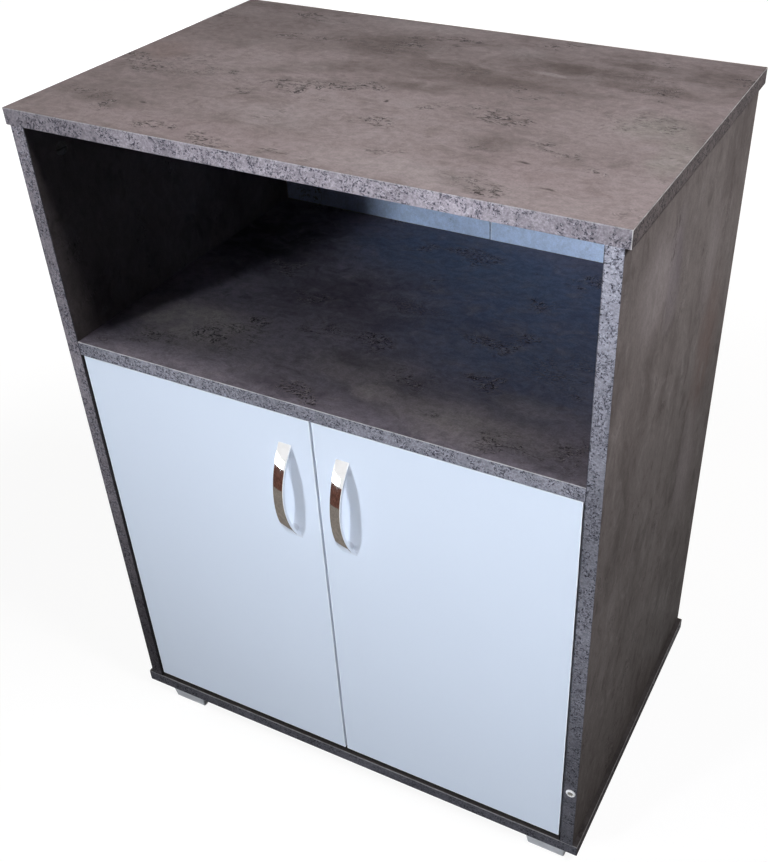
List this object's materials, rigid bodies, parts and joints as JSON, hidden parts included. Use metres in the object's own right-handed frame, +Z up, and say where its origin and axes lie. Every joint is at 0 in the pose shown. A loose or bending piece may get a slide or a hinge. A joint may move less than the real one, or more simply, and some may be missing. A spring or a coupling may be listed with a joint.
{
  "type": "microwave stand with two doors",
  "caption": "Free-standing kitchen cabinet with an open niche above a pair of inset hinged doors with bow handles, on low feet.",
  "frame": {"origin": "on the floor under the feet, midway across the width and midway between the handles' front and the back of the cabinet", "axes": "+Z up, +Y towards the back, +X to the right as seen from the front"},
  "size_m": [0.612, 0.4244, 0.796],
  "materials": {
    "decor_board": "matt concrete-look laminate",
    "decor_edge": "matt melamine edging",
    "white_board": "smooth white laminate",
    "white_edge": "white melamine edging",
    "back_board": "printed hardboard",
    "handle_chrome": "polished chrome plate",
    "foot_plastic": "matt moulded plastic",
    "washer_plastic": "moulded plastic",
    "dowel_wood": "plain beech",
    "cam_zinc": "die-cast zinc alloy",
    "hinge_steel": "nickel-plated pressed steel",
    "screw_steel": "zinc-plated"
  },
  "bodies": {
    "cabinet": {"arm_screws": "screw_steel", "back_board_left": "back_board", "back_board_right": "back_board", "back_nails": "screw_steel", "bottom_edge_bands": "decor_edge", "bottom_panel": "decor_board", "cam_bolts": "screw_steel", "cam_housings": "cam_zinc", "confirmat_screws": "screw_steel", "edge_cup_washer": "washer_plastic", "edge_screw": "screw_steel", "foot_back_left": "foot_plastic", "foot_back_right": "foot_plastic", "foot_front_left": "foot_plastic", "foot_front_right": "foot_plastic", "foot_screws": "screw_steel", "inner_shelf": "decor_board", "inner_shelf_edge_band": "decor_edge", "left_lower_hinge_arm": "hinge_steel", "left_lower_hinge_plate": "hinge_steel", "left_side_edge_band": "decor_edge", "left_side_panel": "decor_board", "left_upper_hinge_arm": "hinge_steel", "left_upper_hinge_plate": "hinge_steel", "middle_shelf": "decor_board", "plate_screws": "screw_steel", "right_lower_hinge_arm": "hinge_steel", "right_lower_hinge_plate": "hinge_steel", "right_side_edge_band": "decor_edge", "right_side_panel": "decor_board", "right_upper_hinge_arm": "hinge_steel", "right_upper_hinge_plate": "hinge_steel", "shelf_edge_band": "decor_edge", "shelf_pins": "screw_steel", "top_edge_bands": "decor_edge", "top_panel": "decor_board", "wooden_dowels": "dowel_wood"},
    "left_leaf": {"left_cup_screws": "screw_steel", "left_door": "white_board", "left_door_edge_bands": "white_edge", "left_handle": "handle_chrome", "left_handle_screws": "screw_steel", "left_lower_hinge_cup": "hinge_steel", "left_lower_hinge_pin": "hinge_steel", "left_upper_hinge_cup": "hinge_steel", "left_upper_hinge_pin": "hinge_steel"},
    "right_leaf": {"right_cup_screws": "screw_steel", "right_door": "white_board", "right_door_edge_bands": "white_edge", "right_handle": "handle_chrome", "right_handle_screws": "screw_steel", "right_lower_hinge_cup": "hinge_steel", "right_lower_hinge_pin": "hinge_steel", "right_upper_hinge_cup": "hinge_steel", "right_upper_hinge_pin": "hinge_steel"}
  },
  "joints": [
    {"name": "left_door_swing", "type": "hinge", "parent": "cabinet", "child": "left_leaf", "pos_m": [-0.262, -0.18125, 0.28525], "axis": [0, 0, 1], "range_deg": [-95, 0]},
    {"name": "right_door_swing", "type": "hinge", "parent": "cabinet", "child": "right_leaf", "pos_m": [0.262, -0.18125, 0.28525], "axis": [0, 0, 1], "range_deg": [0, 95]}
  ]
}
